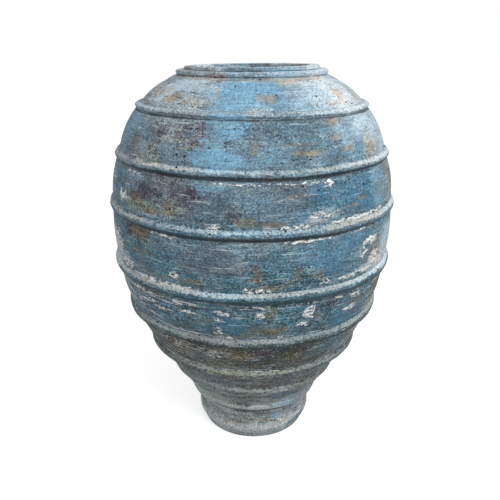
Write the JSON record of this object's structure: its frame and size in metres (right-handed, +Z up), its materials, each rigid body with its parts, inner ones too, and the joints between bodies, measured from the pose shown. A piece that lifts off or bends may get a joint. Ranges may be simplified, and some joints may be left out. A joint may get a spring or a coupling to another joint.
{
  "type": "banded storage jar",
  "caption": "Tall free-standing glazed earthenware jar with an egg-shaped body ringed by raised clay bands, a narrow foot with a drain hole and an open mouth.",
  "frame": {"origin": "centre of the underside, on the surface the jar stands on", "axes": "+Z up the jar's axis, out of its mouth; +X and +Y are any two horizontal directions, because the jar is round"},
  "size_m": [0.8849, 0.885, 1.2],
  "materials": {
    "bare_clay": "unglazed, rough, gritty",
    "slate_glaze": "dry weathered glaze, slate and brown, striated",
    "teal_glaze": "dry weathered glaze, deep teal worn to ochre and chalk",
    "sky_glaze": "dry weathered glaze, sky blue worn to tan",
    "band_glaze": "dry weathered glaze, worn pale on the crests"
  },
  "bodies": {
    "root": {"base_slab": "bare_clay", "foot_course": "slate_glaze", "wall_course_1": "slate_glaze", "wall_course_2": "slate_glaze", "wall_course_3": "teal_glaze", "wall_course_4": "teal_glaze", "wall_course_5": "teal_glaze", "wall_course_6": "teal_glaze", "wall_course_7": "sky_glaze", "shoulder_course": "sky_glaze", "band_1": "band_glaze", "band_2": "band_glaze", "band_3": "band_glaze", "band_4": "band_glaze", "band_5": "band_glaze", "band_6": "band_glaze", "band_7": "band_glaze", "band_8": "band_glaze", "neck_ring": "sky_glaze", "collar_ring": "sky_glaze", "lip_ring": "sky_glaze"}
  },
  "joints": []
}
